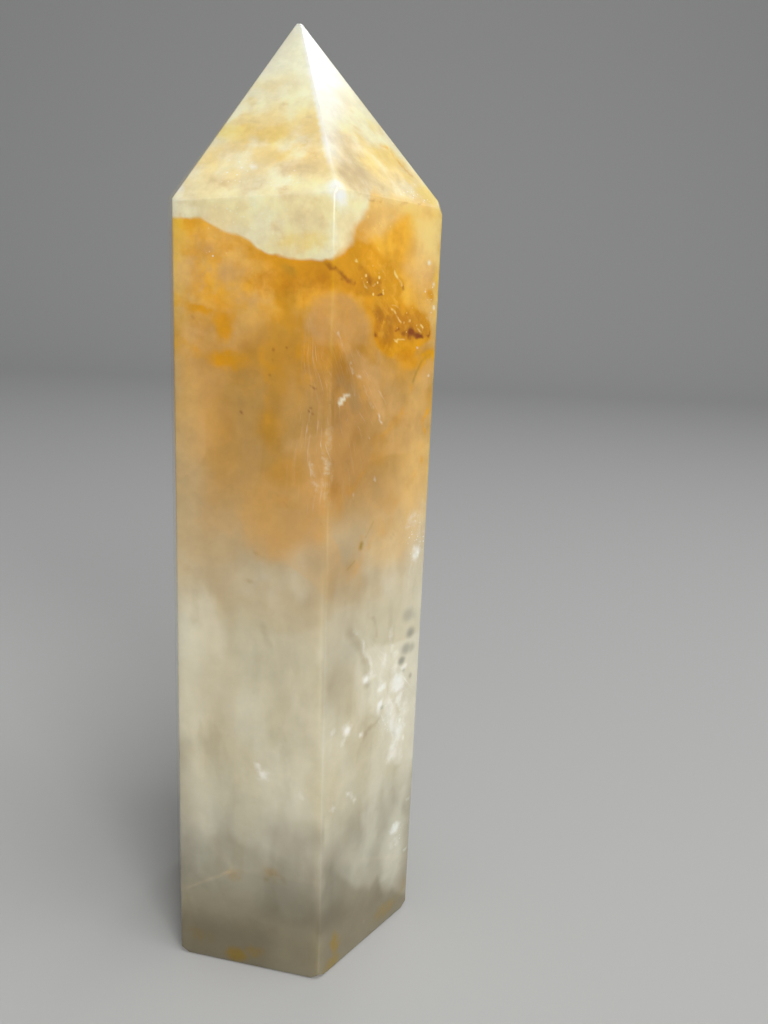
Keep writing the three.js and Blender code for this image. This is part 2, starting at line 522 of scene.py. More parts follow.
# Painted glints: soft white spots, and the glow round the sharp glints, mostly low on the right face.
SOFT_GLINTS = (
    ("right", -2.0, 42.8, 1.5, 1.4, 0.40),
    ("right", -5.2, 36.8, 1.7, 1.7, 0.45),
    ("right", -5.8, 35.6, 1.2, 0.8, 0.35),
    ("front", 1.5, 31.4, 1.4, 1.6, 0.40),
    ("right", 5.6, 13.6, 1.2, 1.6, 0.35),
    ("right", -2.6, 35.0, 1.0, 0.8, 0.35),
    ("right", 0.9, 37.6, 0.9, 1.3, 0.95),
    ("right", 1.2, 40.4, 1.2, 1.0, 0.70),
    ("right", 4.6, 40.0, 1.7, 2.0, 0.90),
    ("right", 5.2, 37.4, 1.2, 1.6, 0.65),
    ("right", 5.6, 42.0, 1.0, 0.7, 0.65),
    ("right", 6.6, 30.4, 0.7, 1.2, 0.50),
    ("right", 6.8, 35.0, 1.2, 2.6, 0.35),
    ("right", -7.9, 37.6, 1.1, 0.9, 0.45),
    ("right", 5.6, 16.1, 1.2, 1.3, 0.70),
    ("right", 7.0, 58.0, 1.2, 1.5, 0.55),
    ("right", 5.8, 62.6, 1.6, 2.0, 0.30),
    ("right", -8.0, 26.4, 0.9, 0.7, 0.45),
    ("front", 9.2, 71.4, 1.1, 3.4, 0.20),
    ("front", 7.7, 70.0, 0.9, 1.9, 0.18),
    ("front", 6.8, 28.7, 0.9, 0.6, 0.35),
    ("front", 9.2, 100.6, 1.6, 1.0, 0.70),
    ("front", -8.6, 100.4, 1.8, 1.4, 0.60),
    ("right", -8.6, 99.4, 1.4, 1.8, 0.60),
)
# Painted glints: small sharp white spots of light.
GLINTS = (
    ("right", -2.0, 42.8, 0.65, 0.60, 1.0),
    ("right", -5.2, 36.8, 0.70, 0.80, 1.0),
    ("right", 4.8, 40.2, 0.50, 0.60, 1.0),
    ("right", 5.4, 33.8, 0.35, 0.55, 1.0),
    ("right", -2.7, 35.0, 0.35, 0.40, 0.60),
    ("front", 1.0, 32.2, 0.42, 0.50, 0.70),
    ("front", 1.7, 31.0, 0.34, 0.55, 0.95),
    ("right", 5.3, 16.6, 0.40, 0.36, 0.90),
    ("right", 6.3, 13.1, 0.26, 0.90, 1.0),
    ("right", 8.3, 10.9, 0.30, 0.30, 1.0),
    ("right", 8.3, 19.6, 0.26, 0.26, 0.8),
    ("right", -0.4, 3.4, 0.22, 0.22, 0.7),
    ("right", 8.3, 64.2, 0.26, 0.50, 0.9),
    ("right", 7.3, 57.9, 0.34, 0.55, 1.0),
    ("right", 8.3, 57.7, 0.25, 0.35, 1.0),
    ("front", -0.3, 102.8, 0.50, 0.40, 0.8),
    ("front", 9.0, 100.0, 0.60, 0.45, 0.9),
    ("front", 0.1, 97.5, 0.18, 0.42, 1.0),
    ("front", 0.9, 98.7, 0.30, 0.20, 0.9),
    ("front", -7.0, 97.3, 0.26, 0.26, 0.8),
    ("right", 6.3, 94.2, 0.42, 0.40, 0.8),
    ("right", 7.4, 91.8, 0.34, 0.34, 0.7),
    ("right", 7.7, 89.1, 0.34, 0.42, 0.8),
    ("right", 4.9, 84.4, 0.26, 0.20, 0.9),
    ("right", 7.4, 81.0, 0.30, 0.20, 0.7),
)
# Where specks of painted gold and white glints are strewn.
SPARK_GLOW = (
    ("right", -3.6, 91.4, 3.4, 2.4, 1.0),
    ("right", -3.0, 97.6, 3.6, 2.4, 0.7),
    ("right", 2.4, 87.4, 4.0, 2.0, 0.8),
)
SPARKLE_GLOW = (
    ("right", 6.8, 90.4, 1.8, 3.0, 0.7),
    ("front", -2.4, 102.6, 3.0, 2.2, 1.0),
    ("front", 3.6, 101.4, 2.6, 1.6, 0.7),
    ("front", 0.0, 97.2, 8.0, 2.0, 0.5),
    ("right", 4.0, 101.6, 4.6, 1.6, 1.0),
    ("front", -2.4, 93.6, 2.4, 0.8, 0.8),
    ("right", 7.0, 60.0, 2.6, 4.0, 0.9),
    ("right", 6.6, 14.0, 2.0, 3.0, 0.8),
    ("right", 3.6, 36.0, 3.6, 5.0, 0.7),
)
RIM_GLOW = (
    ("front", 7.0, 93.0, 9.0, 5.0, 1.0),
    ("right", -6.0, 94.0, 5.0, 6.0, 0.6),
    ("back_left", 0.0, 96.0, 9.0, 4.0, 0.8),
)
SLATE_SPOTS = (
    ("right", 6.0, 49.4, 1.60, 1.30, 0.42),
    ("right", 7.2, 49.0, 0.90, 0.90, 0.25),
    ("right", 6.7, 46.6, 1.15, 1.05, 0.58),
    ("right", 5.9, 44.5, 1.40, 1.15, 0.52),
    ("right", 7.0, 44.3, 1.10, 0.95, 0.40),
    ("right", 5.1, 43.0, 0.95, 0.85, 0.70),
    ("right", 7.2, 40.0, 0.50, 0.60, 0.45),
    ("right", 5.7, 41.4, 0.45, 0.40, 0.35),
    ("right", 1.4, 37.4, 0.50, 0.40, 0.45),
    ("right", 8.8, 55.8, 0.30, 0.60, 0.60),
)
TAN_SPOTS = (
    ("right", -6.9, 102.6, 2.2, 1.8, 0.70),
    ("right", -2.4, 105.0, 1.8, 1.2, 0.55),
    ("right", -5.4, 102.4, 5.0, 3.6, 0.75),
    ("right", -4.4, 105.6, 3.4, 2.6, 0.65),
    ("front", -3.6, 100.9, 2.2, 0.9, 0.55),
    ("front", 0.3, 100.3, 1.5, 0.8, 0.50),
    ("front", 3.9, 100.2, 1.3, 0.7, 0.50),
    ("front", 4.2, 102.6, 3.0, 1.4, 0.75),
    ("front", -0.9, 98.3, 1.0, 0.5, 0.35),
    ("front", 3.0, 96.7, 1.3, 0.8, 0.50),
    ("front", 3.9, 95.8, 0.8, 0.5, 0.50),
    ("front", 1.3, 109.7, 0.7, 0.4, 0.60),
    ("right", 0.6, 103.2, 3.2, 1.5, 0.45),
    ("front", 6.9, 105.2, 1.5, 1.0, 0.45),
    ("front", -1.6, 108.2, 1.0, 0.5, 0.60),
    ("front", 4.6, 108.4, 0.9, 0.4, 0.60),
)
SUN_SPOTS = (
    ("front", -5.5, 106.8, 2.0, 1.2, 0.80),
    ("front", -2.6, 106.8, 2.6, 1.5, 0.75),
    ("front", 1.0, 106.2, 3.0, 1.6, 0.75),
    ("front", 3.8, 104.8, 2.0, 1.2, 0.40),
    ("front", -3.2, 110.2, 1.4, 1.2, 0.50),
    ("front", 2.6, 104.0, 3.0, 1.2, 0.50),
    ("right", 2.6, 105.4, 4.0, 2.0, 0.80),
    ("right", -2.0, 104.0, 3.0, 2.6, 0.60),
    ("right", 6.4, 101.6, 2.4, 2.0, 0.95),
    ("right", 4.4, 103.4, 1.6, 1.4, 0.70),
    ("right", 0.4, 98.8, 2.2, 1.6, 0.70),
    ("front", 6.0, 95.2, 4.0, 1.6, 0.60),
    ("back_left", 0.0, 106.0, 5.0, 2.0, 0.8),
    ("back_right", 2.0, 104.0, 4.0, 2.0, 0.8),
    ("far_right", -1.0, 106.0, 4.0, 2.5, 0.8),
)
MOSS_STAINS = (
    ("front", -2.0, 1.5, 2.2, 1.7, 0.90),
    ("front", 0.4, 2.6, 2.2, 1.6, 0.45),
    ("front", -7.4, 3.6, 2.6, 2.0, 0.35),
    ("right", -6.4, 4.0, 1.1, 2.8, 0.75),
    ("right", -6.6, 1.0, 2.2, 1.6, 0.60),
    ("right", 4.2, 2.6, 3.6, 1.8, 0.45),
    ("right", 8.0, 4.4, 1.6, 2.6, 0.30),
    ("front", 3.0, 15.4, 2.4, 1.4, 0.28),
    ("front", -2.1, 14.7, 1.6, 2.0, 0.22),
)
DARK_DOTS = (
    ("front", 2.9, 84.1, 0.26, 0.36, 1.0),
    ("front", 4.4, 84.4, 0.24, 0.24, 1.0),
    ("front", 2.8, 83.0, 0.20, 0.22, 0.9),
    ("front", 2.5, 81.4, 0.24, 0.26, 0.9),
    ("front", 2.1, 80.4, 0.20, 0.20, 0.8),
    ("front", 7.2, 78.1, 0.26, 0.24, 0.8),
    ("front", 7.4, 77.5, 0.22, 0.26, 0.8),
    ("front", -6.4, 87.0, 0.30, 0.30, 0.5),
    ("right", 3.9, 75.0, 0.30, 0.30, 0.6),
)

# Lobes, crisp along their lower edge and fading upwards, laid out like the soft marks.
PEACH_LOBES = (
    ("back_left", 0.0, 66.0, 6.0, 7.0, 0.7),
)

# Patches with an outline: face, the (along, height) of the corners, how soft the outline is, strength.
AMBER_PATCHES = (
    ("front", ((2.0, 94.0), (8.6, 93.6), (11.0, 94.0), (11.0, 90.2), (8.0, 90.6), (5.4, 91.0),
     (4.6, 88.0), (3.0, 88.6)), 1.8, 0.85),
    ("right", ((-11.0, 95.0), (-8.4, 94.6), (-7.0, 95.8), (-5.4, 95.6), (-3.5, 95.2), (-1.3, 94.5),
     (-0.2, 93.2), (1.5, 92.0), (1.6, 90.4), (3.6, 89.0), (5.8, 88.4), (7.4, 87.4), (7.4, 85.6),
     (5.2, 84.0), (2.7, 83.4), (0.9, 83.8), (-0.6, 83.6), (-2.4, 84.2), (-3.1, 85.8), (-3.2, 87.4),
     (-4.6, 88.4), (-4.8, 89.6), (-7.2, 90.4), (-11.0, 90.8)), 1.2, 1.00),
)
EMBER_PATCHES = (
    ("right", ((-4.3, 89.2), (-2.0, 89.6), (0.0, 89.0), (1.4, 89.2), (3.5, 88.7), (5.8, 88.2),
     (7.2, 87.2), (6.9, 85.9), (5.2, 85.4), (2.7, 85.2), (0.9, 84.6), (-0.6, 84.1), (-2.4, 84.5),
     (-2.9, 85.8), (-3.0, 87.4)), 2.2, 0.75),
    ("front", ((6.6, 92.6), (9.0, 93.0), (11.0, 92.4), (11.0, 90.9), (8.0, 91.2)), 0.9, 0.70),
    ("right", ((-11.0, 92.8), (-7.8, 92.4), (-5.8, 93.2), (-2.6, 91.8), (-1.8, 90.6), (-5.2, 90.1),
     (-7.8, 91.0), (-11.0, 91.0)), 1.0, 0.65),
)
ROSE_PATCHES = (
    ("front", ((6.3, 87.5), (7.3, 89.7), (9.3, 90.4), (10.6, 90.4), (10.6, 85.6), (7.8, 85.0),
     (6.5, 86.4)), 1.8, 0.60),
    ("right", ((-10.6, 90.4), (-8.2, 90.6), (-6.6, 90.1), (-4.7, 88.5), (-3.7, 86.7), (-4.2, 84.6),
     (-6.4, 84.9), (-10.6, 85.2)), 1.8, 0.60),
    ("right", ((-10.2, 86.6), (-7.6, 85.8), (-5.4, 84.0), (-1.4, 81.8), (-0.9, 78.9), (-0.3, 76.0),
     (-2.1, 76.8), (-4.3, 80.4), (-6.2, 82.0), (-7.5, 84.1), (-10.2, 85.9)), 0.9, 0.62),
    ("right", ((-4.2, 84.2), (-1.2, 83.2), (1.6, 81.6), (2.4, 78.6), (0.4, 76.6), (-0.6, 79.0),
     (-1.2, 81.6)), 2.0, 0.40),
    ("front", ((3.8, 79.1), (3.8, 74.9), (5.4, 72.0), (7.0, 68.1), (9.5, 68.4), (9.3, 76.1), (7.7, 77.7),
     (6.8, 79.3)), 2.6, 0.16),
)
STRAW_PATCHES = (
    ("right", ((2.4, 99.8), (10.6, 100.2), (10.6, 93.0), (7.0, 93.6), (4.2, 95.0), (3.4, 97.4)),
     4.0, 0.90),
    ("right", ((-5.4, 100.0), (-6.0, 98.0), (-7.6, 95.6), (-4.6, 95.4), (-2.4, 96.4), (0.6, 98.6),
     (2.8, 100.0)), 1.8, 0.80),
    ("right", ((-5.0, 100.2), (-4.6, 98.8), (0.0, 99.0), (4.0, 98.6), (10.6, 98.0), (10.6, 100.2)),
     1.4, 0.75),
)
PEARL_PATCHES = (
    ("right", ((-3.2, 48.2), (-2.4, 46.5), (-1.5, 44.6), (-1.2, 42.7), (-1.3, 39.6), (-0.4, 37.2),
     (1.2, 35.6), (3.0, 33.0), (3.8, 30.0), (4.4, 27.0), (10.6, 25.0), (10.6, 46.8), (4.5, 46.0),
     (-1.6, 47.2)), 1.0, 0.62),
)
PEACH_PATCHES = (
    ("front", ((9.6, 66.6), (8.9, 65.7), (6.2, 62.4), (3.4, 60.5), (0.6, 60.0), (-1.4, 63.0),
     (-0.6, 68.0), (4.0, 72.0), (9.6, 71.0)), 2.2, 0.60),
)
# Painted reflection of the tip softbox: a near-white patch down the right facet of the point beside the
# ridge.
REFLECTION_PATCHES = (
    ("right", ((0.8, 120.5), (-4.0, 116.0), (-9.4, 106.4), (-8.6, 103.2), (-6.4, 103.8), (-5.4, 105.6),
     (-1.6, 109.6), (1.6, 113.5), (2.0, 118.0)), 2.6, 0.62),
)
# Painted shade: patches made darker for shade, along both sides of the front edge and over the lower part
# towards the foot.
SHADE_PATCHES = (
    ("right", ((-12.0, 91.4), (-7.0, 90.8), (-4.4, 88.8), (-3.4, 84.6), (-12.0, 84.2)), 2.6, 0.50),
    ("front", ((7.8, 91.4), (12.0, 91.4), (12.0, 84.8), (7.8, 84.8)), 3.0, 0.40),
    ("right", ((-18.0, 86.0), (-6.0, 84.0), (-2.0, 76.0), (-2.6, 68.0), (-18.0, 64.0)), 8.0, 0.80),
    ("right", ((-18.0, 62.0), (-5.0, 60.0), (-2.6, 54.0), (-3.0, 46.0), (-6.0, 40.0), (-18.0, 36.0)),
     9.0, 0.68),
    ("right", ((-18.0, 24.0), (-6.0, 20.0), (-4.6, 8.0), (-18.0, 6.0)), 5.0, 1.00),
    ("front", ((-18.0, 40.0), (-8.4, 34.0), (-7.2, 18.0), (-7.2, 13.0), (-18.0, 11.0)), 4.0, 1.00),
    ("front", ((2.0, 24.0), (18.0, 26.0), (18.0, 9.0), (2.0, 9.0)), 5.0, 0.80),
    ("front", ((-18.0, 7.0), (3.0, 7.0), (3.0, -6.0), (-18.0, -6.0)), 5.0, 0.72),
    ("left", ((-2.0, 44.0), (18.0, 40.0), (18.0, 12.0), (0.0, 16.0)), 8.0, 0.50),
)

# Thin marks: face, then (along, height) from end to end, half width and strength.
RUST_LINES = (
    ("front", ((7.7, 93.4), (8.3, 93.1), (9.7, 92.6)), 0.66, 0.85),
    ("right", ((-9.8, 92.7), (-8.4, 92.2), (-7.7, 92.0), (-6.9, 91.7)), 0.55, 0.62),
    ("right", ((-7.8, 92.0), (-8.5, 91.5), (-9.6, 91.1)), 0.26, 0.60),
    ("right", ((-5.4, 92.9), (-4.6, 92.6), (-4.1, 92.2), (-3.6, 91.8)), 0.50, 0.42),
    ("right", ((-3.7, 90.2), (-2.9, 90.35), (-2.1, 90.3)), 0.28, 0.75),
    ("right", ((2.1, 86.2), (2.7, 86.5), (3.3, 86.3), (3.9, 86.0), (5.3, 85.7)), 0.75, 1.00),
    ("right", ((3.0, 85.9), (4.4, 85.7)), 0.60, 1.00),
    ("right", ((1.0, 86.4), (1.8, 86.8)), 0.34, 0.75),
    ("right", ((6.3, 87.6), (7.0, 86.9), (7.0, 86.2), (6.6, 85.8), (5.8, 86.1)), 0.34, 0.55),
    ("right", ((1.1, 91.7), (1.7, 91.2)), 0.34, 0.60),
    ("right", ((-2.8, 86.4), (-2.6, 85.7)), 0.40, 0.50),
    ("right", ((-0.9, 85.8), (-0.2, 85.6)), 0.30, 0.50),
    ("front", ((7.3, 81.0), (7.9, 80.5)), 0.34, 0.55),
    ("front", ((6.3, 82.4), (7.5, 82.5)), 0.45, 0.30),
    ("right", ((3.0, 79.2), (2.1, 77.0)), 0.26, 0.75),
    ("right", ((-5.0, 99.9), (0.1, 100.2), (4.6, 100.3)), 0.28, 0.40),
    ("front", ((8.9, 65.7), (6.2, 62.4), (3.4, 60.5), (2.2, 60.2)), 0.20, 0.35),
    ("front", ((3.0, 68.4), (4.8, 66.9)), 0.30, 0.35),
    ("front", ((-0.9, 77.2), (0.2, 76.8)), 0.14, 0.80),
    ("front", ((7.0, 78.2), (7.5, 77.4)), 0.16, 0.70),
)
# Painted glints: bright gold lines along the fine fractures of the flame under the cap.
GLINT_LINES = (
    ("right", ((-6.4, 93.9), (-5.9, 93.4), (-5.4, 93.1)), 0.29, 0.88),
    ("right", ((-5.4, 91.6), (-4.7, 91.2), (-4.1, 91.3)), 0.22, 0.62),
    ("right", ((-3.2, 91.5), (-2.6, 91.1), (-2.1, 91.3)), 0.22, 0.62),
    ("right", ((-4.6, 90.5), (-3.7, 90.6)), 0.20, 0.55),
    ("right", ((-0.2, 93.0), (0.5, 92.3), (1.0, 91.7)), 0.36, 0.83),
    ("right", ((-2.5, 95.3), (-1.6, 94.5)), 0.32, 0.43),
    ("right", ((-4.4, 95.0), (-3.6, 94.5), (-2.6, 93.8), (-1.8, 92.6)), 0.20, 0.35),
    ("right", ((-0.3, 88.9), (0.7, 88.2), (2.0, 87.5), (3.7, 87.2), (5.1, 86.4)), 0.27, 0.73),
    ("right", ((0.2, 89.2), (1.4, 88.8), (2.4, 88.2)), 0.20, 0.43),
    ("right", ((5.4, 87.3), (6.0, 86.8), (6.5, 86.4)), 0.31, 0.83),
    ("right", ((-0.3, 86.0), (0.2, 85.3), (0.8, 84.7)), 0.27, 0.73),
    ("right", ((2.6, 85.5), (1.7, 85.4), (0.9, 84.9)), 0.24, 0.63),
    ("right", ((-2.6, 98.2), (-2.0, 97.4)), 0.22, 0.48),
    ("right", ((-1.6, 98.8), (-1.0, 98.4)), 0.22, 0.48),
    ("right", ((-4.6, 97.6), (-4.0, 97.0)), 0.20, 0.38),
    ("front", ((-3.6, 95.3), (-2.6, 94.9), (-2.0, 95.2)), 0.20, 0.58),
    ("front", ((-1.4, 93.9), (-0.6, 93.5), (0.2, 93.8)), 0.17, 0.48),
)
AMBER_LINES = (
    ("right", ((8.4, 99.0), (8.5, 93.0)), 0.80, 0.45),
    ("right", ((5.7, 83.1), (6.8, 83.6), (8.3, 83.9)), 0.60, 0.80),
    ("right", ((8.4, 84.2), (5.8, 82.6), (4.6, 81.0), (3.9, 79.4), (2.4, 76.9)), 0.80, 0.75),
    ("right", ((2.4, 76.9), (-1.2, 73.5), (-4.2, 70.4), (-6.4, 68.0)), 0.90, 0.40),
    ("right", ((-3.6, 62.2), (-4.0, 60.8)), 0.80, 0.40),
    ("right", ((7.9, 76.9), (6.8, 75.4), (7.4, 73.6), (6.8, 71.8), (7.2, 70.0)), 0.60, 0.90),
    ("right", ((7.0, 70.4), (3.2, 66.0), (-0.4, 62.4)), 1.80, 0.20),
    ("right", ((-2.2, 61.4), (-5.6, 57.6)), 1.60, 0.26),
    ("front", ((6.4, 90.2), (5.7, 87.4), (6.0, 85.4)), 0.50, 0.60),
    ("right", ((-1.4, 108.2), (2.7, 106.8), (5.8, 103.6)), 0.50, 0.50),
    ("front", ((-2.6, 95.2), (0.2, 94.6), (2.8, 93.2), (4.6, 92.2), (8.6, 92.8)), 0.50, 0.60),
    ("front", ((1.4, 84.2), (2.0, 80.0), (2.4, 76.0)), 0.90, 0.40),
)
# Painted highlights: thin lines of light along the ridge of the point and along its shoulder.
RIDGE_HIGHLIGHTS = (
    ("front", ((9.55, 99.9), (6.7, 106.0)), 0.34, 0.95),
    ("front", ((6.7, 106.0), (3.8, 112.2)), 0.26, 0.60),
    ("right", ((-9.4, 99.9), (-3.0, 100.1)), 0.24, 0.35),
)
CRACK_LINES = (
    ("right", ((-1.8, 63.9), (-3.1, 62.2)), 0.26, 0.60),
    ("right", ((-3.8, 61.5), (-3.9, 61.1)), 0.60, 1.00),
    ("right", ((-4.9, 59.6), (-6.1, 58.8)), 0.28, 0.75),
    ("right", ((2.4, 61.8), (1.5, 61.0)), 0.28, 0.40),
    ("right", ((5.9, 82.8), (4.9, 81.4), (4.4, 80.4)), 0.36, 0.90),
    ("right", ((7.4, 83.6), (5.9, 82.8)), 0.34, 0.50),
    ("front", ((6.0, 97.4), (8.3, 96.6)), 0.20, 0.45),
    ("front", ((5.6, 96.9), (6.8, 96.3)), 0.18, 0.35),
    ("front", ((-4.4, 90.8), (-3.4, 90.6)), 0.24, 0.30),
    ("front", ((4.2, 92.6), (5.0, 92.2)), 0.80, 0.45),
    ("front", ((0.6, 60.7), (1.8, 60.4)), 0.26, 0.50),
    ("front", ((-0.3, 57.2), (0.4, 57.0)), 0.26, 0.50),
)
WHITE_LINES = (
    ("front", ((9.3, 76.0), (9.2, 67.6)), 1.00, 0.22),
    ("front", ((7.6, 71.6), (7.9, 68.8)), 0.60, 0.30),
    ("front", ((6.1, 84.6), (8.5, 83.9)), 0.22, 0.35),
    ("right", ((-9.2, 86.2), (-7.6, 84.2), (-4.6, 80.8), (-2.6, 77.6), (-1.2, 75.8)), 0.34, 0.40),
    ("right", ((-6.0, 82.4), (-5.7, 81.7)), 0.40, 0.50),
    ("right", ((-8.4, 78.3), (-7.6, 79.0)), 0.50, 1.00),
    ("right", ((-7.4, 79.0), (-6.6, 79.2)), 0.34, 0.60),
    ("right", ((-6.0, 79.2), (-5.7, 80.2)), 0.26, 0.75),
    ("right", ((-1.8, 76.7), (-1.3, 75.9)), 0.36, 1.00),
    ("right", ((-3.0, 74.2), (-2.7, 73.2)), 0.30, 0.45),
    ("right", ((-5.4, 68.2), (-5.7, 67.2)), 0.40, 0.45),
    ("right", ((-2.3, 69.6), (-2.3, 68.8)), 0.36, 0.45),
    ("right", ((-0.4, 65.0), (-1.2, 63.4)), 0.24, 0.55),
    ("right", ((-4.0, 60.7), (-4.8, 59.6)), 0.34, 0.80),
    ("right", ((-5.2, 59.4), (-5.8, 58.7)), 0.20, 0.50),
    ("right", ((-4.9, 96.6), (-4.4, 95.2)), 0.20, 0.60),
    ("right", ((2.4, 4.5), (3.5, 4.9)), 0.16, 0.60),
    ("right", ((-9.2, 41.3), (-7.6, 41.3)), 0.34, 0.35),
    ("front", ((8.2, 37.2), (9.2, 35.8)), 0.42, 0.65),
    ("right", ((-5.0, 27.7), (-3.2, 25.6)), 0.60, 0.50),
)
SILVER_LINES = (
    ("right", ((-4.4, 50.6), (-3.1, 48.9), (-2.0, 46.4), (-1.1, 44.5), (-0.8, 42.6)), 0.70, 0.35),
    ("right", ((3.0, 37.4), (3.6, 35.3), (4.3, 33.4), (5.0, 32.0), (4.7, 30.3), (4.1, 28.7)), 1.90, 0.60),
    ("right", ((3.6, 35.3), (4.3, 33.4), (5.0, 32.0), (4.8, 30.8)), 0.70, 0.80),
    ("right", ((1.4, 44.9), (1.3, 42.3), (1.0, 39.8)), 1.20, 0.45),
    ("right", ((3.7, 44.4), (3.8, 40.0)), 1.20, 0.45),
    ("right", ((2.4, 48.4), (3.0, 45.0)), 1.00, 0.30),
    ("right", ((5.4, 36.0), (6.2, 32.0), (5.8, 28.0)), 1.40, 0.35),
)
SHADOW_LINES = (
    ("front", ((1.7, 51.4), (2.6, 49.2)), 0.80, 0.35),
    ("front", ((2.8, 48.0), (3.6, 44.4), (4.4, 42.6), (5.4, 39.8)), 2.20, 0.20),
    ("front", ((-2.8, 55.4), (-2.4, 51.8), (-2.0, 47.4)), 1.80, 0.20),
    ("front", ((-7.0, 55.0), (-7.2, 50.8)), 0.70, 0.22),
    ("front", ((6.2, 39.2), (8.6, 34.2)), 2.00, 0.18),
    ("right", ((-5.2, 50.6), (-4.0, 48.8), (-2.9, 46.3), (-2.0, 44.4), (-1.7, 42.0)), 1.20, 0.40),
    ("right", ((-1.2, 50.8), (-0.6, 48.4)), 0.60, 0.35),
    ("right", ((2.8, 45.1), (2.8, 41.3), (2.5, 39.0), (2.2, 37.3), (1.2, 35.9)), 0.45, 0.60),
    ("right", ((1.2, 35.9), (-0.5, 35.3), (-2.2, 34.6)), 0.60, 0.55),
    ("right", ((-8.0, 80.8), (-6.6, 80.2), (-5.8, 78.6)), 1.40, 0.30),
)

# What is drawn over the mesh, by the name of its attribute. The exact marks keep their places, and
# swirls push the others about.
SOFT_MARKS = {
    "peach": PEACH_SPOTS, "ochre": OCHRE_SPOTS, "rose": ROSE_SPOTS, "sand": SAND_GLOW,
    "pearl": PEARL_GLOW, "soft_glints": SOFT_GLINTS, "amber": AMBER_SPOTS, "ember": EMBER_SPOTS,
    "rust": RUST_SPOTS, "sun": SUN_SPOTS, "tan": TAN_SPOTS, "sparkle": SPARKLE_GLOW,
    "sparks": SPARK_GLOW, "rim": RIM_GLOW, "stains": MOSS_STAINS, "mottled": MOTTLED_GLOW,
    "blush": BLUSH_GLOW,
}
EXACT_SPOTS = {"slate": SLATE_SPOTS, "dots": DARK_DOTS, "glints": GLINTS}
PATCHES = {
    "amber": AMBER_PATCHES, "ember": EMBER_PATCHES, "rose": ROSE_PATCHES, "straw": STRAW_PATCHES,
    "pearl": PEARL_PATCHES, "peach": PEACH_PATCHES,
}
EXACT_PATCHES = {"painted_shade": SHADE_PATCHES, "painted_reflection": REFLECTION_PATCHES}
THIN_MARKS = {
    "shadow_lines": SHADOW_LINES, "amber_lines": AMBER_LINES, "rust_lines": RUST_LINES,
    "white_lines": WHITE_LINES, "silver_lines": SILVER_LINES, "glint_lines": GLINT_LINES,
}
EXACT_LINES = {"ridge_highlights": RIDGE_HIGHLIGHTS, "crack_lines": CRACK_LINES}
FANS = {"pale_fans": PALE_FANS, "silver_fans": SILVER_FANS, "flames": FLAME_FANS}


# ---------------------------------------------------------------- drawing the marks

def smooth_step(share):
    share = np.clip(share, 0.0, 1.0)
    return share * share * (3.0 - 2.0 * share)


def drifted(points, reach, size, octaves):
    """Points in mm, pushed about by as much as the reach by swirls of that size."""
    push = [noise.turbulence_vector(Vector(point) / size, octaves, False) for point in points]
    return points + reach * np.array(push)


def soft_field(points, marks):
    """How much each point lies in the soft marks, from 0 to their strength."""
    field = np.zeros(len(points))
    for face, along, height, wide, tall, strength in marks:
        far = np.linalg.norm((points - on_face(face, along, height)) / (wide, wide, tall), axis=1)
        field = np.maximum(field, strength * smooth_step((1.15 - far) / 0.9))
    return field


def thin_field(points, marks):
    """How much each point lies on the thin marks, from 0 to their strength."""
    field = np.zeros(len(points))
    for face, places, width, strength in marks:
        spots = [np.array(on_face(face, along, height)) for along, height in places]
        for start, end in zip(spots, spots[1:]):
            run = end - start
            along = np.clip((points - start) @ run / (run @ run), 0.0, 1.0)
            gap = np.linalg.norm(points - start - along[:, None] * run, axis=1)
            field = np.maximum(field, strength * smooth_step(1.0 - gap / width))
    return field


def above_cap_line(points):
    """The height over the line where the cap ends, made less on the right, where its edge is soft."""
    above = points[:, 2] - np.interp(points[:, 0], *zip(*CAP_LINE))
    return above / np.interp(points[:, 0], (5.6, 8.2), (1.0, 4.5))


def across_face(points, face):
    """How far, in mm, the points lie along a face to the right, and how far in front of it."""
    facing, reach = FACES[face]
    turn = math.radians(facing)
    along = points[:, 1] * math.cos(turn) - points[:, 0] * math.sin(turn)
    ahead = points[:, 0] * math.cos(turn) + points[:, 1] * math.sin(turn) - reach
    return along, ahead


def on_this_face(points, face, reach=1.2):
    """The points' places along a face, and 1 for those within the reach of it, falling to 0 beyond."""
    along, ahead = across_face(points, face)
    gap = np.abs(ahead + np.maximum(points[:, 2] - SHOULDER, 0.0) / TIP_SLOPE)
    return along, smooth_step(2.0 - gap / reach)


def patch_field(points, marks, reach=1.2):
    """How much each point lies in the outlined patches, from 0 to their strength."""
    field = np.zeros(len(points))
    for face, corners, softness, strength in marks:
        along, here = on_this_face(points, face, reach)
        height = points[:, 2]
        inside = np.zeros(len(points), dtype=bool)
        gap = np.full(len(points), np.inf)
        for (start, low), (end, high) in zip(corners, (*corners[1:], corners[0])):
            run = end - start
            rise = high - low
            if rise:
                passing = (height < low) != (height < high)
                inside ^= passing & (along < start + (height - low) * run / rise)
            share = ((along - start) * run + (height - low) * rise) / (run**2 + rise**2)
            share = np.clip(share, 0.0, 1.0)
            gap = np.minimum(gap, np.hypot(along - start - share * run, height - low - share * rise))
        deep = np.where(inside, gap, -gap)
        field = np.maximum(field, strength * here * smooth_step(0.5 + deep / softness))
    return field


def lobe_field(points, marks):
    """How much each point lies in the lobes, crisp along their lower edge and fading upwards."""
    field = np.zeros(len(points))
    for face, along, height, wide, tall, strength in marks:
        run, here = on_this_face(points, face)
        rise = (points[:, 2] - height) / tall
        far = np.hypot((run - along) / wide, rise)
        shape = smooth_step((1.0 - far) / 0.07) * smooth_step((far - 0.2) / 0.6) * smooth_step(0.5 - rise)
        field = np.maximum(field, strength * here * shape)
    return field


def foot_field(points):
    """The pale cloud whose curled lower edge lies over the darker foot."""
    above = points[:, 2] - np.interp(points[:, 0], *zip(*FOOT_LINE))
    return smooth_step(0.5 + above / 2.0) * smooth_step((14.0 - above) / 12.0)


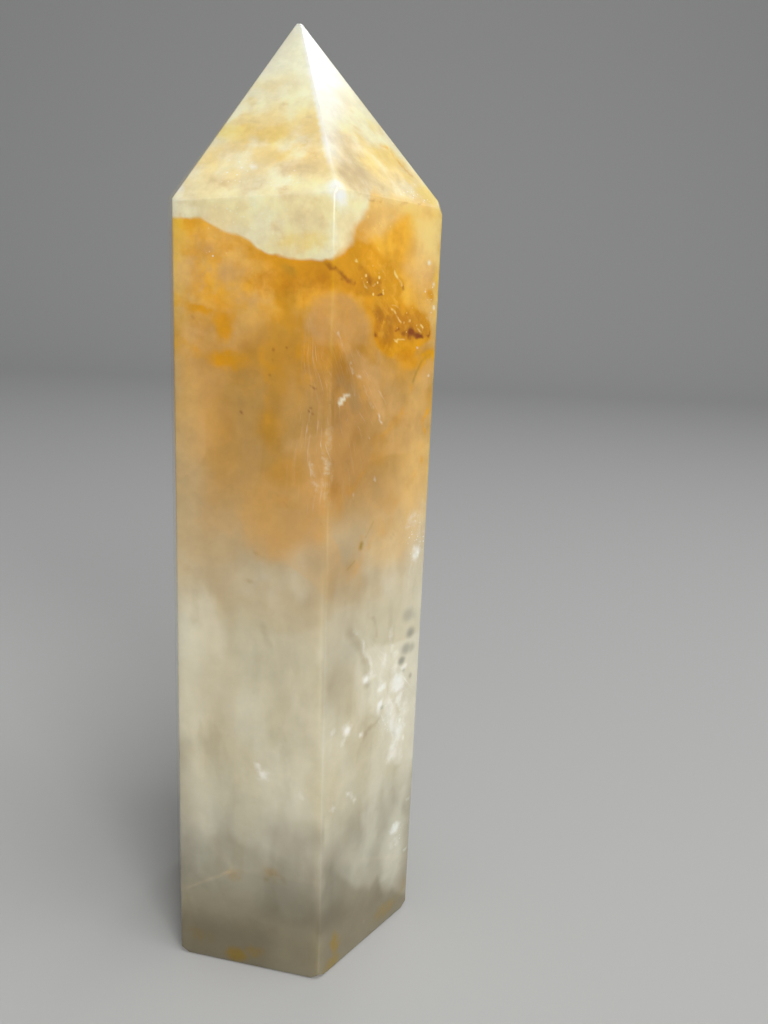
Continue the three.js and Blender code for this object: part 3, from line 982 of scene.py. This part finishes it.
def fan_fields(points, fans):
    """How much each point lies in the fans of threads, and its place across and down its fan."""
    mask = np.zeros(len(points))
    threads = np.zeros((len(points), 3))
    for turn, (face, along, height, heading, spread, length, strength) in enumerate(fans):
        run, ahead = across_face(points, face)
        far = np.hypot(run - along, points[:, 2] - height)
        angle = np.degrees(np.arctan2(points[:, 2] - height, run - along)) - heading
        angle = (angle + 180.0) % 360.0 - 180.0
        inside = smooth_step((spread - np.abs(angle)) / (0.5 * spread))
        inside = inside * smooth_step((length - far) / (0.4 * length))
        here = strength * inside * smooth_step(1.0 - np.abs(ahead) / 1.5)
        place = np.stack([angle * length / 60.0, 0.12 * far, np.full(len(points), 7.0 * turn)], axis=1)
        threads[here > mask] = place[here > mask]
        mask = np.maximum(mask, here)
    return mask, threads


def draw_marks(mesh):
    """Writes the stone's marks onto the mesh, one attribute for each."""
    noise.seed_set(SEED)
    spots = np.empty(len(mesh.vertices) * 3)
    mesh.vertices.foreach_get("co", spots)
    spots = spots.reshape(-1, 3) / MM
    wavy = drifted(spots, reach=1.3, size=9.0, octaves=2)
    ragged = drifted(spots, reach=0.6, size=2.5, octaves=3)
    fields = {name: soft_field(ragged, marks) for name, marks in SOFT_MARKS.items()}
    fields.update({name: soft_field(spots, marks) for name, marks in EXACT_SPOTS.items()})
    for name, marks in PATCHES.items():
        fields[name] = np.maximum(fields.get(name, 0.0), patch_field(ragged, marks))
    fields.update({name: patch_field(spots, marks, reach=0.2) for name, marks in EXACT_PATCHES.items()})
    fields["lobes"] = lobe_field(wavy, PEACH_LOBES)
    fields["foot"] = foot_field(wavy)
    fields.update({name: thin_field(ragged, marks) for name, marks in THIN_MARKS.items()})
    fields.update({name: thin_field(spots, marks) for name, marks in EXACT_LINES.items()})
    fields["height"] = wavy[:, 2]
    fields["cap"] = above_cap_line(ragged)
    for name, fans in FANS.items():
        fields[name], threads = fan_fields(wavy, fans)
        places = mesh.attributes.new(name + "_threads", "FLOAT_VECTOR", "POINT")
        places.data.foreach_set("vector", threads.astype(np.float32).ravel())
    for name, field in fields.items():
        mesh.attributes.new(name, "FLOAT", "POINT").data.foreach_set("value", field.astype(np.float32))


# ---------------------------------------------------------------- the stone

# Tints of painted shade, as shares of red, green and blue, that make the stone darker where the shade
# patches lie: low down and high up.
LOW_SHADE_TINT = (0.68, 0.66, 0.64)
HIGH_SHADE_TINT = (0.70, 0.62, 0.46)
BODY_SPAN = 120.0  # mm, the height that the colours below the cap are spread over
CAP_START = 90.0  # mm, the height where the colours of the cap start
CAP_SPAN = 32.0  # mm, how far they go up


def height_stops(stone):
    """The colours of the stone below the cap, by height as a share of their span; near the foot they hold
    painted shade.
    """
    return (
        (0.00, stone.olive), (0.05, stone.olive), (0.15, stone.smoke), (0.25, stone.milk),
        (0.40, stone.milk), (0.49, stone.biscuit), (0.60, stone.honey), (0.66, stone.honey),
        (0.70, stone.caramel), (0.76, stone.gold), (1.00, stone.gold),
    )


def cap_stops(stone):
    """The colours of the cap, by height over its start as a share of their span."""
    return (
        (0.00, stone.sun), (0.14, stone.straw), (0.32, stone.straw), (0.42, stone.wheat),
        (0.54, stone.wheat), (0.68, stone.straw), (0.80, stone.cream), (1.00, stone.cream),
    )


class StonePaint(Graph):
    """Paints the colour of the stone in layers, each over the last, where a mask says how thickly.

    Masks come from the marks drawn on the mesh, and from clouds and veils that run through the stone.
    """

    def __init__(self, tree, groups, place):
        super().__init__(tree)
        self.groups = groups
        self.place = place
        fray = self.node("ShaderNodeTexNoise", "fray", Vector=place, Scale=0.9, Detail=5.0, Roughness=0.6)
        self.fray = fray.outputs["Fac"]
        self.height = self.drawn("height")
        self.shade = None

    def lay(self, mask, colour_over):
        """Lays a colour over the rest, as thickly as the mask says."""
        self.shade = self.mix(mask, self.shade, rgba(colour_over))

    def drawn(self, name):
        """A mark drawn on the mesh."""
        return self.node("ShaderNodeAttribute", name, {"attribute_name": name}).outputs["Fac"]

    def frayed(self, name, strength=0.5, edge=0.45):
        """A mark drawn on the mesh, with a frayed edge."""
        return self.group(
            self.groups["fray"], Mask=self.drawn(name), Noise=self.fray, Fray=strength, Edge=edge
        )

    def threads(self, name, scale, low, high):
        """Threads down the fans of that name, where noise of that scale passes low, full past high."""
        course = self.node("ShaderNodeAttribute", name, {"attribute_name": name + "_threads"})
        return self.group(
            self.groups["thread"], Threads=course.outputs["Vector"], Mask=self.drawn(name),
            Scale=scale, Low=low, High=high,
        )

    def cloud(self, low, high, strength, scale, stretch=EVEN, detail=3.0):
        """Clouds where noise of that scale passes low, full where it passes high."""
        return self.group(
            self.groups["cloud"], Position=self.place, Stretch=stretch, Scale=scale, Detail=detail,
            Low=low, High=high, Strength=strength,
        )

    def veils(self, level, strength, scale, fade, detail=1.0):
        """Veils that start where noise of that scale passes the level, and fade as it rises on."""
        return self.group(
            self.groups["veil"], Position=self.place, Stretch=EVEN, Scale=scale, Detail=detail,
            Level=level, Fade=fade, Strength=strength,
        )

    def flecks(self, name, scale, size, density):
        """Specks inside a mark drawn on the mesh."""
        return self.group(
            self.groups["fleck"], Position=self.place, Scale=scale, Size=size, Density=density,
            Strength=self.drawn(name),
        )

    def within(self, mask, low, high, edge):
        """A mask kept between two heights, with soft ends."""
        rise = self.between(self.height, low - edge, low + edge)
        fall = self.between(self.height, high - edge, high + edge, 1.0, 0.0)
        return self.times(mask, self.times(rise, fall))


def paint_milk(paint, stone):
    """The milky lower half: soft columns, curled veils and darker smears."""
    tall = (1.0, 1.0, 0.4)
    paint.lay(paint.within(paint.cloud(0.46, 0.68, 0.55, 0.13, tall), 14.0, 60.0, 8.0), stone.pearl)
    paint.lay(paint.within(paint.cloud(0.50, 0.72, 0.30, 0.30, tall), 6.0, 62.0, 8.0), stone.shadow)
    paint.lay(paint.within(paint.veils(0.50, 0.16, 0.045, fade=0.2), 12.0, 62.0, 8.0), stone.pearl)
    paint.lay(paint.times(paint.drawn("foot"), 0.24), stone.pearl)


def paint_honey(paint, stone):
    """The middle: honey clouds and pinkish veils."""
    strewn = paint.cloud(0.50, 0.66, 0.26, 0.40, (1.0, 1.0, 0.5), detail=5.0)
    paint.lay(paint.within(strewn, 62.0, 88.0, 4.0), stone.rose)
    paint.lay(paint.within(paint.cloud(0.44, 0.70, 0.40, 0.12), 62.0, 84.0, 5.0), stone.peach)
    rising = paint.cloud(0.50, 0.74, 0.34, 0.22, (1.0, 1.0, 0.6))
    paint.lay(paint.within(rising, 62.0, 86.0, 5.0), stone.ochre)
    paint.lay(paint.within(paint.veils(0.52, 0.40, 0.07, fade=0.2), 58.0, 88.0, 5.0), stone.rose)


def paint_gold(paint, stone):
    """The gold under the cap: mottles, then stains from the palest to the strongest, and the flame."""
    mottled = paint.drawn("mottled")
    paint.lay(paint.times(paint.cloud(0.42, 0.60, 0.70, 0.24, detail=5.0), mottled), stone.sand)
    strewn = paint.cloud(0.50, 0.70, 0.60, 0.36, detail=5.0)
    paint.lay(paint.within(strewn, 80.0, 99.0, 4.0), stone.amber)
    paint.lay(paint.times(paint.cloud(0.54, 0.66, 0.40, 0.80, detail=5.0), mottled), stone.rose)
    paint.lay(paint.drawn("peach"), stone.peach)
    paint.lay(paint.times(paint.drawn("lobes"), 0.55), stone.peach)
    paint.lay(paint.drawn("ochre"), stone.ochre)
    paint.lay(paint.frayed("stains", 0.8, 0.5), stone.moss)
    paint.lay(paint.drawn("sand"), stone.sand)
    paint.lay(paint.drawn("blush"), stone.biscuit)
    paint.lay(paint.drawn("straw"), stone.apricot)
    paint.lay(paint.drawn("shadow_lines"), stone.shadow)
    paint.lay(paint.frayed("rose", 0.5, 0.5), stone.rose)
    paint.lay(paint.drawn("pearl"), stone.pearl)
    paint.lay(paint.frayed("amber", 0.9, 0.5), stone.amber)
    paint.lay(paint.frayed("ember", 1.1, 0.5), stone.ember)
    paint.lay(paint.times(paint.threads("flames", 0.7, 0.48, 0.66), 0.65), stone.gold)
    licks = paint.cloud(0.52, 0.66, 0.70, 1.3, detail=6.0)
    paint.lay(paint.times(licks, paint.drawn("flames")), stone.gold)
    paint.lay(paint.times(paint.threads("flames", 1.2, 0.60, 0.72), 0.45), stone.ember)
    glowing = paint.times(paint.drawn("flames"), paint.drawn("ember"))
    paint.lay(paint.times(paint.cloud(0.37, 0.60, 0.75, 0.8, detail=6.0), glowing), stone.rust)


def paint_cap(paint, stone):
    """The pale cap over the rest, with an amber rim under its lower edge."""
    above = paint.drawn("cap")
    paint.lay(paint.times(paint.between(above, -2.5, 0.0), paint.drawn("rim")), stone.amber)
    share = paint.maths("DIVIDE", paint.maths("SUBTRACT", paint.height, CAP_START), CAP_SPAN)
    cap = paint.ramp(share, cap_stops(stone))
    cap = paint.mix(paint.cloud(0.42, 0.60, 0.60, 0.22, detail=5.0), cap, rgba(stone.cream))
    fading = paint.between(paint.height, 115.0, 107.0)
    mottle = paint.times(paint.cloud(0.48, 0.72, 0.46, 0.35, detail=6.0), fading)
    cap = paint.mix(mottle, cap, rgba(stone.tan))
    specks = paint.times(paint.cloud(0.52, 0.72, 0.60, 0.9, detail=4.0), mottle)
    cap = paint.mix(specks, cap, rgba(stone.ochre))
    cap = paint.mix(paint.frayed("sun", 0.9), cap, rgba(stone.sun))
    cap = paint.mix(paint.frayed("tan", 0.9), cap, rgba(stone.tan))
    paint.shade = paint.mix(paint.between(above, -0.2, 0.35), paint.shade, cap)


def paint_lines(paint, stone):
    """Lines, cracks and threads of veil, the painted reflection on the point and painted glints, over the
    cap and the rest alike.
    """
    # Painted reflection on the right facet of the point.
    paint.lay(paint.drawn("painted_reflection"), stone.veil)
    paint.lay(paint.frayed("amber_lines", 0.7), stone.amber)
    paint.lay(paint.frayed("rust", 0.7), stone.rust)
    paint.lay(paint.frayed("rust_lines"), stone.rust)
    paint.lay(paint.times(paint.threads("pale_fans", 0.9, 0.46, 0.66), 0.50), stone.rose)
    paint.lay(paint.times(paint.threads("pale_fans", 2.2, 0.58, 0.72), 0.26), stone.veil)
    paint.lay(paint.times(paint.threads("silver_fans", 0.8, 0.42, 0.64), 0.35), stone.pearl)
    paint.lay(paint.times(paint.threads("silver_fans", 2.0, 0.58, 0.74), 0.50), stone.veil)
    paint.lay(paint.frayed("white_lines", 0.9), stone.veil)
    paint.lay(paint.frayed("silver_lines", 0.9), stone.veil)
    # Painted gold glints along the flame's fine lines.
    paint.lay(paint.frayed("glint_lines", 0.7), stone.spark)
    # Painted soft glints and their glow.
    paint.lay(paint.frayed("soft_glints", 0.9, 0.45), stone.veil)


def darken(paint):
    """A fine marbling of the tone, and the painted shade over the shade patches."""
    marble = paint.node(
        "ShaderNodeTexNoise", "marble", Vector=paint.place, Scale=0.28, Detail=7.0, Roughness=0.62
    )
    swing = paint.between(marble.outputs["Fac"], 0.30, 0.70, -1.0, 1.0)
    depth = paint.between(paint.height, 50.0, 84.0, 0.05, 0.12)
    paint.shade = paint.scaled(paint.shade, paint.maths("MULTIPLY_ADD", swing, depth, 1.0))
    # Painted shade, browner higher up, laid where the shade patches lie.
    painted_shade = paint.mix(paint.between(paint.height, 48.0, 62.0), rgba(LOW_SHADE_TINT), rgba(HIGH_SHADE_TINT))
    paint.shade = paint.vector("MULTIPLY", paint.shade, paint.mix(paint.drawn("painted_shade"), rgba(WHITE), painted_shade))


def paint_glints(paint, stone):
    """The painted highlight along the ridge, cracks, dots, and the painted sparks and glints, which lie
    over everything.
    """
    # Painted highlight along the ridge and the shoulder.
    paint.lay(paint.drawn("ridge_highlights"), stone.veil)
    paint.lay(paint.drawn("crack_lines"), stone.moss)
    paint.lay(paint.drawn("slate"), stone.slate)
    paint.lay(paint.drawn("dots"), stone.rust)
    # Painted glints: gold and white specks, then the sharp white glints.
    paint.lay(paint.flecks("sparks", 1.7, 0.36, 0.35), stone.spark)
    paint.lay(paint.flecks("sparkle", 2.6, 0.30, 0.42), stone.veil)
    paint.lay(paint.drawn("glints"), stone.veil)


def quartz_material(stone):
    """The stone of the tower: cloudy from outside, and clear to light that is already in it."""
    material = bpy.data.materials.new("golden_quartz")
    material.use_nodes = True
    tree = material.node_tree
    tree.nodes.clear()
    graph = Graph(tree)
    place = graph.scaled(graph.node("ShaderNodeTexCoord").outputs["Object"], 1.0 / MM)
    groups = {name: make() for name, make in GROUP_MAKERS.items()}
    paint = StonePaint(tree, groups, place)
    paint.shade = paint.ramp(paint.maths("DIVIDE", paint.height, BODY_SPAN), height_stops(stone))
    paint_milk(paint, stone)
    paint_honey(paint, stone)
    paint_gold(paint, stone)
    paint_cap(paint, stone)
    paint_lines(paint, stone)
    darken(paint)
    paint_glints(paint, stone)

    outside = graph.node("ShaderNodeBsdfPrincipled", "cloudy stone", Base_Color=paint.shade)
    inside = graph.node("ShaderNodeBsdfPrincipled", "clear stone from within", Base_Color=rgba(WHITE))
    for name, value in (
        ("Roughness", stone.gloss), ("IOR", stone.index), ("Transmission Weight", stone.clear),
        ("Subsurface Weight", stone.glow), ("Subsurface Scale", stone.glow_depth),
        ("Subsurface Radius", stone.glow_reach),
    ):
        graph.feed(outside, name, value)
    for name, value in (
        ("Roughness", stone.inner_roughness), ("IOR", stone.index), ("Transmission Weight", 1.0)
    ):
        graph.feed(inside, name, value)
    within = graph.node("ShaderNodeNewGeometry").outputs["Backfacing"]
    surface = graph.node("ShaderNodeMixShader", Fac=within)
    tree.links.new(outside.outputs["BSDF"], surface.inputs[1])
    tree.links.new(inside.outputs["BSDF"], surface.inputs[2])
    depth = graph.node(
        "ShaderNodeVolumeAbsorption", Color=rgba(stone.depth_tint), Density=stone.depth_strength
    )
    output = graph.node("ShaderNodeOutputMaterial")
    tree.links.new(surface.outputs["Shader"], output.inputs["Surface"])
    tree.links.new(depth.outputs["Volume"], output.inputs["Volume"])
    return material


# ---------------------------------------------------------------- the tower

FINE_FACES = ("front", "right")
# How squarely a face must look the way that its side does, to count as the side or its tip facet, and
# as the side alone.
SIDE_OR_TIP = 0.58
SIDE_ALONE = 0.97
# Windows with small marks, cut finer still: face, from and to along it, from and to in height, cell.
FINE_WINDOWS = (
    ("right", -9.4, 8.4, 83.4, 97.0, 0.2),
    ("right", -6.4, 8.4, 28.0, 46.0, 0.26),
    ("right", 3.6, 8.4, 79.8, 83.4, 0.2),
    ("right", -6.4, 0.0, 58.4, 64.6, 0.2),
    ("front", 2.0, 5.0, 80.0, 85.0, 0.2),
    ("front", 6.0, 8.4, 76.9, 82.9, 0.2),
    ("front", 4.4, 7.6, 96.4, 98.0, 0.2),
)


def cut(bm, faces, point, normal):
    """Splits the faces where a plane passes, and returns those on its near and on its far side."""
    edges = {edge for face in faces for edge in face.edges}
    corners = {corner for face in faces for corner in face.verts}
    made = bmesh.ops.bisect_plane(
        bm, geom=[*faces, *edges, *corners], dist=1e-7, plane_co=point, plane_no=normal
    )["geom"]
    near, far = [], []
    for piece in made:
        if isinstance(piece, bmesh.types.BMFace):
            beyond = (piece.calc_center_median() - point).dot(normal) > 0.0
            (far if beyond else near).append(piece)
    return near, far


def cut_in_steps(bm, faces, low, high, step, normal):
    """Cuts the faces into bands across the normal, each a step wide or a little less, and returns all."""
    count = math.ceil((high - low) / step)
    done = []
    for i in range(1, count):
        near, faces = cut(bm, faces, normal * (low + (high - low) * i / count), normal)
        done += near
    return done + faces


def face_axes(name):
    """Which way a face looks, and the way along it to the right."""
    turn = math.radians(FACES[name][0])
    return Vector((math.cos(turn), math.sin(turn), 0.0)), Vector((-math.sin(turn), math.cos(turn), 0.0))


def cut_into_cells(mesh):
    """Cuts the flat faces into small cells, so that marks can be drawn on their corners."""
    up = Vector((0.0, 0.0, 1.0))
    bm = bmesh.new()
    bm.from_mesh(mesh)
    bmesh.ops.remove_doubles(bm, verts=bm.verts, dist=1e-7)
    bmesh.ops.dissolve_limit(bm, angle_limit=math.radians(0.02), verts=bm.verts, edges=bm.edges)
    for name in FACES:
        out, side = face_axes(name)
        step = (NEAR_CELL if name in FINE_FACES else FAR_CELL) * MM
        looking = [face for face in bm.faces if face.normal.dot(out) > SIDE_OR_TIP]
        ends = [corner.co.dot(side) for face in looking for corner in face.verts]
        cut_in_steps(bm, looking, min(ends), max(ends), step, side)
    cut_in_steps(bm, list(bm.faces), 0.0, TOP.z, NEAR_CELL * MM, up)
    for name, left, right, low, high, step in FINE_WINDOWS:
        out, side = face_axes(name)
        window = []
        for face in bm.faces:
            middle = face.calc_center_median() / MM
            inside = left < middle.dot(side) < right and low < middle.z < high
            if inside and face.normal.dot(out) > SIDE_ALONE:
                window.append(face)
        window = cut_in_steps(bm, window, left * MM, right * MM, step * MM, side)
        cut_in_steps(bm, window, low * MM, high * MM, step * MM, up)
    bmesh.ops.triangulate(bm, faces=[face for face in bm.faces if len(face.verts) > 4])
    bm.to_mesh(mesh)
    bm.free()


class QUARTZ_OT_tower(bpy.types.Operator):
    """Add the polished tower"""

    bl_idname = "quartz.tower"
    bl_label = "Tower"
    bl_options = {"REGISTER", "UNDO"}

    def execute(self, context):
        stone = context.scene.quartz_stone
        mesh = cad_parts[NODE].data.copy()
        mesh.name = "polished_tower"
        cut_into_cells(mesh)
        draw_marks(mesh)
        mesh.materials.clear()
        mesh.materials.append(quartz_material(stone))
        tower = bpy.data.objects.new("polished_tower", mesh)
        context.scene.collection.objects.link(tower)
        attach(tower, BODY)
        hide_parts(NODE)
        return {"FINISHED"}


# ---------------------------------------------------------------- the studio

PICTURE_HEIGHT = 1024.0  # pixels, the long side, which the sensor's width spans
SHEET_WIDTH = 3.2  # m
SHEET_FRONT = -1.2  # m, its near end
SHEET_TOP = 1.2  # m, how high it goes
SWEEP_START = 0.7  # m behind the tower, where the sheet begins to rise
SWEEP_RADIUS = 0.5  # m
SWEEP_STEPS = 16


def add_camera(context, studio):
    """The camera, level with the tower's upper half and looking down along it."""
    data = bpy.data.cameras.new("camera")
    data.sensor_width = 36.0
    data.lens = studio.focal_pixels / PICTURE_HEIGHT * data.sensor_width
    data.clip_start = 0.005
    camera = bpy.data.objects.new("camera", data)
    level = Matrix.Rotation(math.radians(90.0) - studio.tilt, 4, "X")
    lean = Matrix.Rotation(studio.roll, 4, "Z")
    camera.matrix_world = Matrix.Translation(studio.eye) @ level @ lean
    context.scene.collection.objects.link(camera)
    context.scene.camera = camera


def add_softbox(context, name, place, target, size, watts, spread=180.0):
    """A square soft light aimed at a target, its light held to the spread in degrees."""
    data = bpy.data.lights.new(name, "AREA")
    data.shape = "SQUARE"
    data.size = size
    data.energy = watts
    data.spread = math.radians(spread)
    lamp = bpy.data.objects.new(name, data)
    aim = (target - place).to_track_quat("-Z", "Y")
    lamp.matrix_world = Matrix.Translation(place) @ aim.to_matrix().to_4x4()
    context.scene.collection.objects.link(lamp)


def add_backdrop(context, studio):
    """A pale sheet that lies flat under the tower and sweeps up behind it."""
    profile = [(SHEET_FRONT, 0.0)]
    for i in range(SWEEP_STEPS + 1):
        turn = math.pi / 2 * i / SWEEP_STEPS
        profile.append((SWEEP_START + SWEEP_RADIUS * math.sin(turn), SWEEP_RADIUS * (1 - math.cos(turn))))
    profile.append((SWEEP_START + SWEEP_RADIUS, SHEET_TOP))
    mesh = bpy.data.meshes.new("backdrop")
    points = [(x, y, z) for y, z in profile for x in (-SHEET_WIDTH / 2, SHEET_WIDTH / 2)]
    faces = [(2 * i, 2 * i + 1, 2 * i + 3, 2 * i + 2) for i in range(len(profile) - 1)]
    mesh.from_pydata(points, [], faces)
    mesh.shade_smooth()
    material = bpy.data.materials.new("pale_paper")
    material.use_nodes = True
    shader = material.node_tree.nodes["Principled BSDF"]
    shader.inputs["Base Color"].default_value = rgba(studio.floor)
    shader.inputs["Roughness"].default_value = 0.85
    mesh.materials.append(material)
    sheet = bpy.data.objects.new("backdrop", mesh)
    context.scene.collection.objects.link(sheet)


def add_air(context, studio):
    """Even light from all round."""
    world = bpy.data.worlds.new("studio_air")
    world.use_nodes = True
    background = world.node_tree.nodes["Background"]
    background.inputs["Color"].default_value = rgba(studio.air)
    background.inputs["Strength"].default_value = studio.air_strength
    context.scene.world = world


class QUARTZ_OT_studio(bpy.types.Operator):
    """Set up the camera, the pale floor and the soft lights"""

    bl_idname = "quartz.studio"
    bl_label = "Studio"
    bl_options = {"REGISTER", "UNDO"}

    def execute(self, context):
        studio = context.scene.quartz_studio
        add_camera(context, studio)
        add_backdrop(context, studio)
        middle = Vector((0.0, 0.0, 0.07))
        tip = Vector((0.0, 0.0, 0.115))
        behind = tip + Vector((0.275, 0.57, 0.78)) * 0.55
        add_softbox(context, "tip_softbox", behind, tip, size=0.16, watts=0.0043, spread=19.0)
        add_softbox(context, "overhead_softbox", Vector((0.24, -0.16, 0.72)), middle, size=0.4, watts=2.5)
        add_softbox(context, "front_softbox", Vector((0.34, -0.76, 0.40)), middle, size=0.5, watts=5.6)
        add_air(context, studio)
        context.scene.view_settings.view_transform = "Standard"
        return {"FINISHED"}


# ---------------------------------------------------------------- panel and registration

class QUARTZ_PT_panel(bpy.types.Panel):
    """Lists the pieces in the 3D view's sidebar"""

    bl_label = "Quartz Tower"
    bl_idname = "QUARTZ_PT_panel"
    bl_space_type = "VIEW_3D"
    bl_region_type = "UI"
    bl_category = "Quartz"

    def draw(self, context):
        for operator in OPERATORS:
            self.layout.operator(operator.bl_idname)
        for settings in (context.scene.quartz_stone, context.scene.quartz_studio):
            box = self.layout.box()
            for name in settings.bl_rna.properties.keys():
                if name not in {"rna_type", "name"}:
                    box.prop(settings, name)


OPERATORS = (QUARTZ_OT_studio, QUARTZ_OT_tower)
CLASSES = (QuartzStoneSettings, QuartzStudioSettings, *OPERATORS, QUARTZ_PT_panel)


def register():
    for cls in CLASSES:
        bpy.utils.register_class(cls)
    bpy.types.Scene.quartz_stone = PointerProperty(type=QuartzStoneSettings)
    bpy.types.Scene.quartz_studio = PointerProperty(type=QuartzStudioSettings)


def unregister():
    del bpy.types.Scene.quartz_studio
    del bpy.types.Scene.quartz_stone
    for cls in reversed(CLASSES):
        bpy.utils.unregister_class(cls)


def main():
    register()
    bpy.ops.quartz.studio()
    bpy.ops.quartz.tower()
    bpy.context.view_layer.update()


if __name__ == "__main__":
    main()
